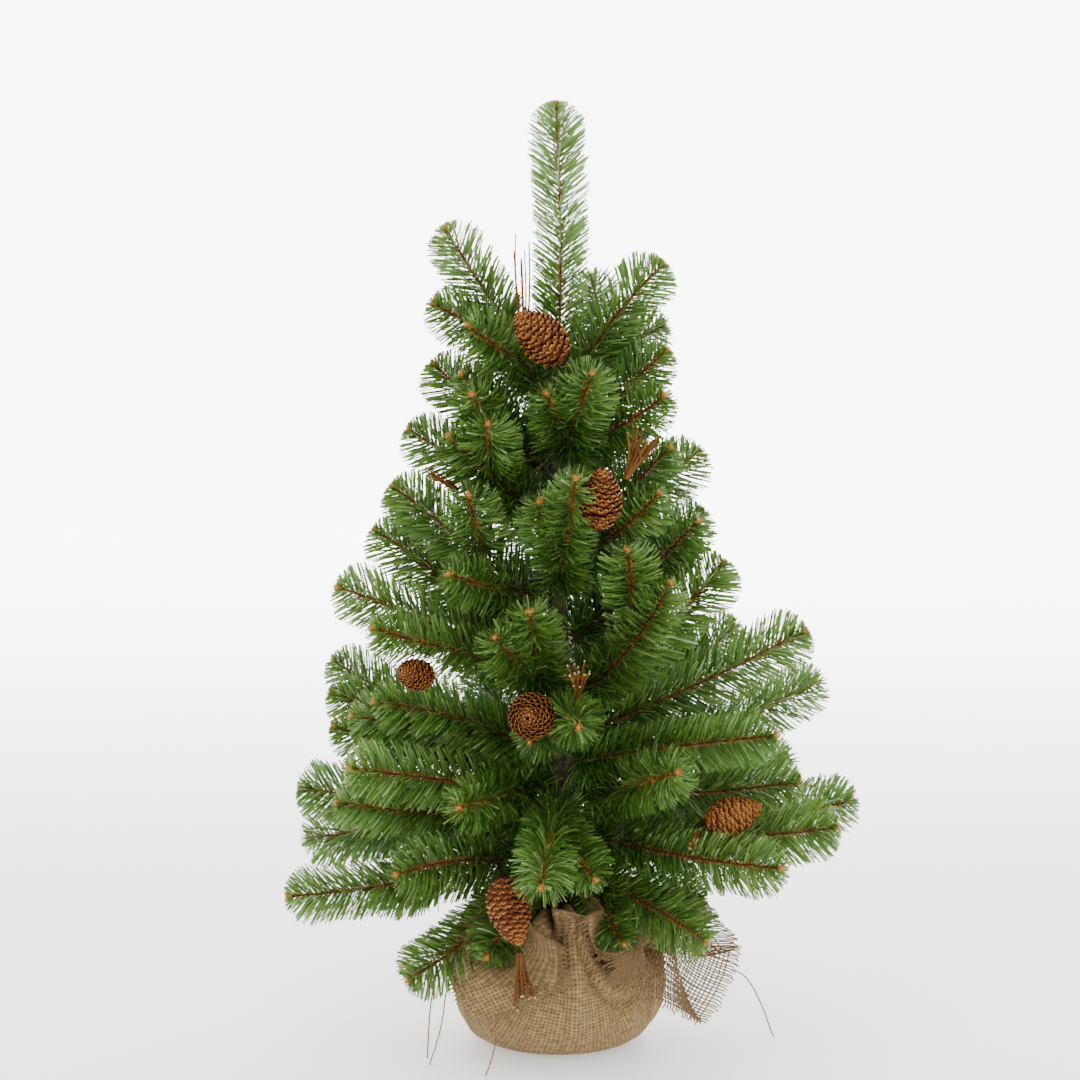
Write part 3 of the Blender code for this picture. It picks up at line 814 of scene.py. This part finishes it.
def twig_shape(builder, start, control, end, thick, rng):
    """Adds one twig: uneven, knobbly, thinner towards its pale end."""
    points, run = resample(quadratic(start, control, end, 12), 0.9 * MM)
    wobble = np.cumsum(rng.normal(0, 0.05 * MM, points.shape), axis=0)
    points = points + wobble * (run / run[-1])[:, None]
    waves = np.sin(run / (4.2 * MM) * 2 * math.pi + rng.random() * 6)
    knobs = 1 + 0.22 * np.maximum(0, waves) ** 4
    radii = thick * (1 - 0.42 * run / run[-1]) * knobs
    builder.add(*tube_shape(points, radii, 6), np.clip(0.42 + rng.normal(0, 0.12), 0.1, 0.7))
    tip = points[-1]
    tangent = unit(points[-1] - points[-3])
    cap = np.array([tip - tangent * 0.9 * MM, tip, tip + tangent * 0.15 * MM])
    builder.add(*capped_tube(cap, radii[-1] * np.array([1.06, 1.04, 0.8]), 6), 1.0)


def binding(builder, knot, axis, side, over):
    """A few turns of thin wire round the twigs' foot."""
    turns = np.linspace(0, 4 * 2 * math.pi, 72)
    coil = (knot - axis * 3 * MM + axis * (turns / turns[-1] * 4.5 * MM)[:, None]
            + around(side, over, turns) * 1.9 * MM)
    builder.add(*capped_tube(coil, 0.35 * MM, 5), 0.12)


# ---- burlap

# Distance from the square's centre, radius and height of the gathered cloth, mm.
CLOTH_PROFILE = ((0, 0, 0.6), (44, 44, 0.6), (54, 53.5, 3.0), (63, 60, 9.5), (74, 64.5, 19),
                 (88, 66, 33), (102, 64.5, 47), (116, 57, 59.5), (130, 47, 68.5), (144, 36, 76),
                 (158, 25, 79), (168, 19, 83), (176, 18.5, 88), (188, 27, 92), (202, 40.5, 91),
                 (218, 54, 84), (233, 66, 75), (250, 76, 62), (266, 82.5, 47), (284, 87, 30),
                 (300, 90, 15), (316, 95, 4))
# Distance from the square's centre and the deepest a fold gets there, mm.
FOLD_DEPTH = ((52, 0), (100, 3), (116, 8), (135, 14), (160, 12), (172, 9), (186, 13), (205, 16),
              (225, 13), (245, 5), (260, 1.5))
FOLDS = 14
# Azimuth, half width towards the front and distance from the square's centre of the lowest point
# of the two hems that hang over the front of the bag: degrees, degrees, mm.
SWAGS = ((231, 36, 90), (307, -34, 94))
SWAG_DEPTH = 8.5 * MM
HEM_WIDTH = 20 * MM          # how wide a strip along the flaps' edges rolls outward
HEM_ROLL = 7 * MM            # and how far
SWAG_GROOVE = 2.5 * MM       # how far the cloth sinks in under a hem
WING_START = 212.0           # where the frayed corner starts to stand out sideways, mm
WING_TURN = 52.0             # how far it turns outward, degrees
FLAP_ROOM = 44.0             # half the angle a corner flap may take up at the neck, degrees
FLAP_OPENING = 9.0           # how much of that angle is left open further down


def cloth_profile(run):
    """Radius and height in metres at distances in metres from the cloth's centre, rounded off."""
    table = np.array(CLOTH_PROFILE) * MM
    radius = height = 0
    for shift, weight in ((-7, 1), (-3.5, 2), (0, 3), (3.5, 2), (7, 1)):
        at = np.abs(run + shift * MM)
        radius = radius + np.interp(at, table[:, 0], table[:, 1]) * weight / 9
        height = height + np.interp(at, table[:, 0], table[:, 2]) * weight / 9
    return radius, height


def cloth_place(u, v):
    """Where the flat point (u, v) of the square lies once it is gathered round the pot."""
    u = u + CLOTH_SHIFT
    v = v - CLOTH_SHIFT
    run = np.hypot(u, v)
    turn = np.degrees(np.arctan2(v, u)) % 360
    radius, height = cloth_profile(run)
    normal = profile_normal(run)
    corner = np.interp(np.floor(turn / 90) * 90 + 45, FLAT_CORNERS, CLOTH_CORNERS)
    turn = np.interp(turn, FLAT_CORNERS, CLOTH_CORNERS)
    half = CLOTH_SIDE / 2 + CLOTH_SHIFT
    ratio = run / np.maximum(radius, 5 * MM)
    width = 45 - np.degrees(np.arccos(half / np.maximum(run, half)))
    room = FLAP_ROOM - FLAP_OPENING * rise(run / MM, 200, 45)
    fan = np.maximum(1, np.minimum(ratio, room / np.maximum(width, 0.5)))
    fan = np.where(run > half, fan, 1.0)
    angle = np.radians(corner + (turn - corner) * fan)
    push, lean = cloth_folds(run, np.radians(turn), radius, ratio / fan)
    hem = np.maximum(np.abs(u - CLOTH_SHIFT), np.abs(v + CLOTH_SHIFT)) - CLOTH_SIDE / 2
    hem = np.clip(1 + hem / HEM_WIDTH, 0, 1) * rise(run / MM, 195, 25)
    push = push - HEM_ROLL * hem ** 2
    angle = angle + lean
    radius = radius + normal[0] * push
    height = np.maximum(height + normal[1] * push, 0.6 * MM)
    wing = rise(run / MM, WING_START, 40) * (corner == CLOTH_CORNERS[-2])
    wing = np.radians(WING_TURN) * wing * (turn > corner)
    corner = np.radians(corner)
    x = radius * (np.cos(angle) - np.cos(corner))
    y = radius * (np.sin(angle) - np.sin(corner))
    return np.stack([radius * np.cos(corner) + x * np.cos(wing) + y * np.sin(wing),
                     radius * np.sin(corner) - x * np.sin(wing) + y * np.cos(wing), height], -1)


def profile_normal(run):
    """Which way the cloth's outer face looks at a distance from its centre: radial and upward."""
    step = 1 * MM
    before = cloth_profile(np.abs(run - step))
    after = cloth_profile(run + step)
    slope = np.maximum(np.hypot(after[0] - before[0], after[1] - before[1]), 1e-9)
    return (after[1] - before[1]) / slope, (before[0] - after[0]) / slope


def cloth_folds(run, turn, radius, crowding):
    """How far the folds that take up the cloth's spare width push it out, and how they lean."""
    excess = np.sqrt(np.maximum(crowding ** 2 - 1, 0))
    deepest = np.array(FOLD_DEPTH) * MM
    depth = np.minimum(math.pi * radius / FOLDS / 2 * excess,
                       np.interp(run, deepest[:, 0], deepest[:, 1]))
    phase = (FOLDS * turn + 0.9 * np.sin(2 * turn + 0.5) + 0.7 * np.sin(5 * turn + 1.9)
             + 0.8 * np.sin(3 * turn + 0.2))
    size = 1 + 0.25 * np.sin(4 * turn + 1.1)
    push = depth * (np.cos(phase) * size + 0.25 * np.cos(2 * phase + 0.6))
    soft = 1.3 * np.sin(turn * 3 + 0.6) + 0.9 * np.sin(turn * 5 + 2.1)
    on_pot = rise(132 - run / MM, 0, 20)
    push = np.where(push < 0, push * (1 - 0.85 * on_pot), push)
    push = push + soft * MM * rise(run / MM, 60, 30)
    lean = np.minimum(excess * 0.45, 1.5) * rise(run / MM, 96, 30) / FOLDS
    return push + cloth_swags(run, turn), np.sin(phase) * lean


def cloth_swags(run, turn):
    """How far the cloth above the two front hems stands off the bag."""
    push = 0
    for azimuth, half, lowest in SWAGS:
        off = ((np.degrees(turn) - azimuth + 180) % 360 - 180) / half
        hem = (lowest + np.where(off > 0, 58, 16) * off ** 2) * MM
        step = rise(run, hem, 4 * MM)
        fade = rise(off, -2, 1) * rise(156 * MM - run, 0, 24 * MM)
        bulge = step ** 2 * (3 - 2 * step) * np.exp(-((run - hem) / (36 * MM)) ** 2)
        groove = np.exp(-((run - hem + 1 * MM) / (4 * MM)) ** 2)
        push = push + fade * (SWAG_DEPTH * bulge - SWAG_GROOVE * groove)
    return push


def cloth_normal(u, v):
    step = 0.6 * MM
    along = cloth_place(u + step, v) - cloth_place(u - step, v)
    across = cloth_place(u, v + step) - cloth_place(u, v - step)
    return unit(np.cross(along, across))


def open_weave(u, v):
    """True in the frayed corner flap, where only single threads are left."""
    return (u - v) / math.sqrt(2) > CLOTH_SIDE / math.sqrt(2) - FRAYED_CORNER


def build_cloth():
    """The burlap square as one thin closed sheet, without its frayed corner."""
    half = CLOTH_SIDE / 2
    cells = 200
    line = np.linspace(-half, half, cells + 1)
    u, v = np.meshgrid(line, line)
    verts = cloth_place(u, v).reshape(-1, 3)
    faces = grid_quads(np.arange(u.size).reshape(u.shape))
    middles = [(flat[:-1, :-1] + flat[1:, 1:]).ravel() / 2 for flat in (u, v)]
    faces = faces[~open_weave(*middles)]
    used, faces = np.unique(faces, return_inverse=True)
    faces = faces.reshape(-1, 4)
    uvs = np.stack([u, v], -1).reshape(-1, 2)[used]
    cloth = mesh_object("burlap_cloth", verts[used], faces, uvs=uvs)
    thick = cloth.modifiers.new("thickness", 'SOLIDIFY')
    thick.thickness = CLOTH_THICKNESS
    thick.offset = 0.0
    return cloth


def thread_line(number, fixed, axis, rng, start, end):
    """One jute thread that runs over and under its neighbours along the cloth."""
    count = max(6, int((end - start) / (WEAVE_PITCH / 3)))
    at = np.linspace(start, end, count)
    drift = np.cumsum(rng.normal(0, 0.05 * MM, count))
    u, v = (at, fixed + drift) if axis == 0 else (fixed + drift, at)
    weave = np.sin(at / WEAVE_PITCH * math.pi + (number + axis) * math.pi) * 0.34 * MM
    line = cloth_place(u, v) + cloth_normal(u, v) * weave[:, None]
    line[:, 2] = np.maximum(line[:, 2], THREAD_RADIUS)
    return line


def build_fringe():
    """Frayed edges: thread ends past the cloth all round, and the open weave of one corner."""
    half = CLOTH_SIDE / 2
    rng = np.random.default_rng(41)
    builder = Builder()
    for number in range(int(CLOTH_SIDE / WEAVE_PITCH)):
        fixed = -half + (number + 0.5) * WEAVE_PITCH
        for axis in (0, 1):
            for sign in (-1, 1):
                frayed = sign > 0 if axis == 0 else sign < 0
                inner = half - 4 * MM
                if frayed:
                    side = -fixed if axis == 0 else fixed
                    inner = min(inner, CLOTH_SIDE - FRAYED_CORNER * math.sqrt(2) - side - 3 * MM)
                outer = half + rng.uniform(1.5, 5) * MM
                ends = (inner, outer) if sign > 0 else (-outer, -inner)
                line = thread_line(number, fixed, axis, rng, *ends)
                builder.add(*capped_tube(line, THREAD_RADIUS, 5), 0.5)
    return builder.build("burlap_fringe")


def build_loose_threads():
    """Single threads pulled out of the flaps' edges, hanging down to the floor."""
    rng = np.random.default_rng(43)
    builder = Builder()
    # Where they leave the flat cloth, how far out they reach and how much they swing aside, mm.
    for u, v, reach, aside in ((200, -152, 27, 8), (-200, -150, 14, -6), (-200, -174, 18, 8),
                               (-188, -200, 12, 5)):
        top = cloth_place(np.array([u * MM]), np.array([v * MM]))[0]
        foot = top * (1, 1, 0)
        out = unit(foot)
        share = np.linspace(0, 1, 24)[:, None]
        line = (foot + out * reach * MM * share ** 0.8 + UP * top[2] * (1 - share ** 1.6)
                + np.cross(UP, out) * aside * MM * share * np.sin(share * 3.5))
        line = line + np.cumsum(rng.normal(0, 0.25 * MM, line.shape), axis=0) * share
        line[:, 2] = np.maximum(line[:, 2], THREAD_RADIUS)
        builder.add(*capped_tube(line, THREAD_RADIUS, 5), 0.5)
    return builder.build("loose_threads")


def build_twine():
    """Three turns of jute twine round the gathered neck."""
    turns = np.linspace(0, 3 * 2 * math.pi, 150)
    radius = 25 * MM + 0.8 * MM * np.sin(turns * FOLDS)
    coil = np.stack([radius * np.cos(turns), radius * np.sin(turns),
                     82 * MM + turns / turns[-1] * 6 * MM], -1)
    builder = Builder()
    builder.add(*capped_tube(coil, 1.1 * MM * (1 + 0.12 * np.sin(turns * 60)), 8), 0.5)
    return builder.build("neck_twine")


# ---- stage

def build_stage():
    """A pale floor that curves up into a white backdrop and glows as painted light, brighter
    towards the back.
    """
    half_width, front, bend, radius, top, sunk = 6.0, -5.0, 2.2, 1.2, 5.0, 0.0002
    outline = [(front, 0.0), (bend, 0.0)]
    outline += [(bend + radius * math.sin(turn), radius - radius * math.cos(turn))
                for turn in np.linspace(0, math.pi / 2, 13)[1:]]
    outline += [(bend + radius, top)]
    verts = [(x, y, z - sunk) for y, z in outline for x in (-half_width, half_width)]
    floor = mesh_object("stage_floor", verts, grid_quads(np.arange(len(verts)).reshape(-1, 2)))
    shade = Shader("stage_white", 0.6)
    tint = shade.ramp(shade.noise(3.0, 3), (0.3, (0.86, 0.86, 0.855)), (0.7, (0.89, 0.89, 0.885)))
    split = shade.node("SeparateXYZ")
    shade.link(shade.node("TexCoord").outputs["Object"], split.inputs[0])
    # Painted light: the floor's glow rises from 0.55 at the front to 7 at the back.
    back = shade.node("MapRange", interpolation_type='SMOOTHSTEP')
    for key, value in (("From Min", 0.1), ("From Max", 2.4), ("To Min", 0.55), ("To Max", 7.0)):
        back.inputs[key].default_value = value
    shade.link(split.outputs[1], back.inputs["Value"])
    shade.link(tint, shade.main.inputs["Emission Color"])
    shade.link(back.outputs["Result"], shade.main.inputs["Emission Strength"])
    floor.data.materials.append(shade.finish(tint))


def aimed(name, data, spot, target):
    """A light or camera at a spot, looking at the target."""
    item = bpy.data.objects.new(name, data)
    item.location = spot
    item.rotation_euler = (Vector(target) - Vector(spot)).to_track_quat('-Z', 'Y').to_euler()
    bpy.context.scene.collection.objects.link(item)
    return item


def area_light(name, spot, target, size, power):
    light = bpy.data.lights.new(name, 'AREA')
    light.shape = 'RECTANGLE'
    light.size, light.size_y = size
    light.energy = power
    aimed(name, light, spot, target)


def build_lights():
    world = bpy.data.worlds.new("studio")
    world.use_nodes = True
    background = world.node_tree.nodes["Background"]
    background.inputs["Color"].default_value = (1, 1, 1, 1)
    background.inputs["Strength"].default_value = 0.95
    bpy.context.scene.world = world
    area_light("top_softbox", (-0.3, -0.5, 2.4), (0, 0, 0.3), (2.4, 2.0), 42)
    area_light("front_softbox", (0.9, -2.6, 1.5), (0, 0, 0.3), (1.6, 1.6), 16)


VIEW_ANGLE = 19.976          # degrees
VIEW_FROM = (1.95, 0.62, 0.329, -0.0116)  # distance, height, height looked at, sideways: metres


def build_camera():
    distance, height, aim, beside = VIEW_FROM
    data = bpy.data.cameras.new("camera")
    data.sensor_width = 36
    data.lens = data.sensor_width / 2 / math.tan(math.radians(VIEW_ANGLE / 2))
    bpy.context.scene.camera = aimed("camera", data, (beside, -distance, height),
                                     (beside, 0, aim))


# ---- the tree

def dress_cad():
    """Materials for the CAD nodes that stay in view or lie inside."""
    # Name, darkest and palest colour, roughness, grain per metre, metallic and bump
    finishes = {
        "base_pot": ("pot_plastic", (0.015, 0.015, 0.016), (0.03, 0.03, 0.03), 0.45, 60, 0, 0.2),
        "cement_weight": ("cement", (0.26, 0.25, 0.24), (0.42, 0.41, 0.39), 0.9, 160, 0, 0.8),
        "trunk_rod": ("rod_steel", (0.4, 0.4, 0.41), (0.55, 0.55, 0.56), 0.35, 200, 1, 0.2),
        "trunk_tape": ("trunk_tape", (0.022, 0.017, 0.006), (0.075, 0.052, 0.020), 0.75, 240,
                       0, 0.7),
    }
    for name, look in finishes.items():
        node = frame["nodes"][name]
        node.data.materials.clear()
        node.data.materials.append(plain_material(*look))


def cone_solids():
    """Centre, axis, half length and radius of a room that each cone takes up."""
    return [(np.array(centre) * MM, directions(axis)[0], length * 0.52 * MM,
             diameter * 0.52 * MM) for centre, axis, length, diameter, _, _ in CONES.values()]


def main():
    build_camera()
    build_lights()
    build_stage()
    dress_cad()
    solids = cone_solids()
    for order, joint in enumerate(frame["joints"]):
        dress_branch(joint, order, solids)
    for order, (name, spec) in enumerate(CONES.items()):
        build_cone(name, spec, order)
    for order, (name, spec) in enumerate(TWIGS.items()):
        build_twigs(name, spec, order)
    cloth = place(build_cloth(), (BURLAP,), "root", ["burlap_wrap"])
    fringe = place(build_fringe(), (THREAD,), "root")
    loose = place(build_loose_threads(), (THREAD,), "root")
    place(build_twine(), (THREAD,), "root", ["neck_tie"])


main()
bpy.context.view_layer.update()
